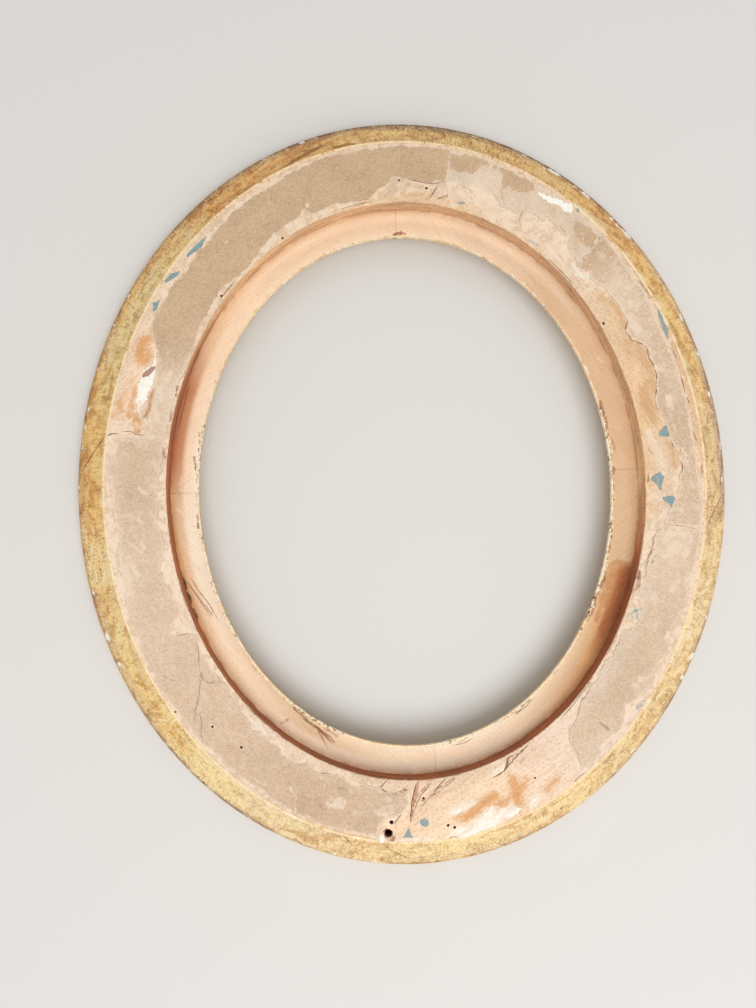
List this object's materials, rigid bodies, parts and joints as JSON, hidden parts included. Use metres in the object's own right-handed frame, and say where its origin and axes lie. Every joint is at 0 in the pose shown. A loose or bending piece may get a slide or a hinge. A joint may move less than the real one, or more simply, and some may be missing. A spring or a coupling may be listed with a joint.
{
  "type": "oval picture frame",
  "caption": "Empty antique oval frame of scarfed wood segments with a let-in sight ring, gilded front and bevelled side, deep rebate and torn backing paper on its flat back.",
  "frame": {"origin": "middle of the oval, on the face that the front fillet rests on", "axes": "+X to the right seen from the back, +Y to the frame's top, +Z out of the back"},
  "size_m": [0.362, 0.414, 0.0282],
  "materials": {
    "bare_wood": "matte",
    "sight_wood": "matte",
    "old_gilding": "satin",
    "front_gilding": "satin",
    "backing_paper": "matte",
    "under_paper": "matte",
    "blue_paper": "matte",
    "white_paint": "matte"
  },
  "bodies": {
    "root": {"main_segment_upper_left": "bare_wood", "main_segment_lower_left": "bare_wood", "main_segment_lower_right": "bare_wood", "main_segment_upper_right": "bare_wood", "sight_segment_upper_left": "sight_wood", "sight_segment_lower_left": "sight_wood", "sight_segment_lower_right": "sight_wood", "sight_segment_upper_right": "sight_wood", "gilded_side_upper_left": "old_gilding", "gilded_side_lower_left": "old_gilding", "gilded_side_lower_right": "old_gilding", "gilded_side_upper_right": "old_gilding", "gilded_front": "front_gilding", "backing_paper_lower_right": "backing_paper", "backing_paper_upper_right": "backing_paper", "backing_paper_upper_left": "backing_paper", "backing_paper_lower_left": "backing_paper", "under_paper_upper_right": "under_paper", "top_paper_patches": "backing_paper", "blue_paper_scraps": "blue_paper", "white_paint_flakes": "white_paint"}
  },
  "joints": []
}
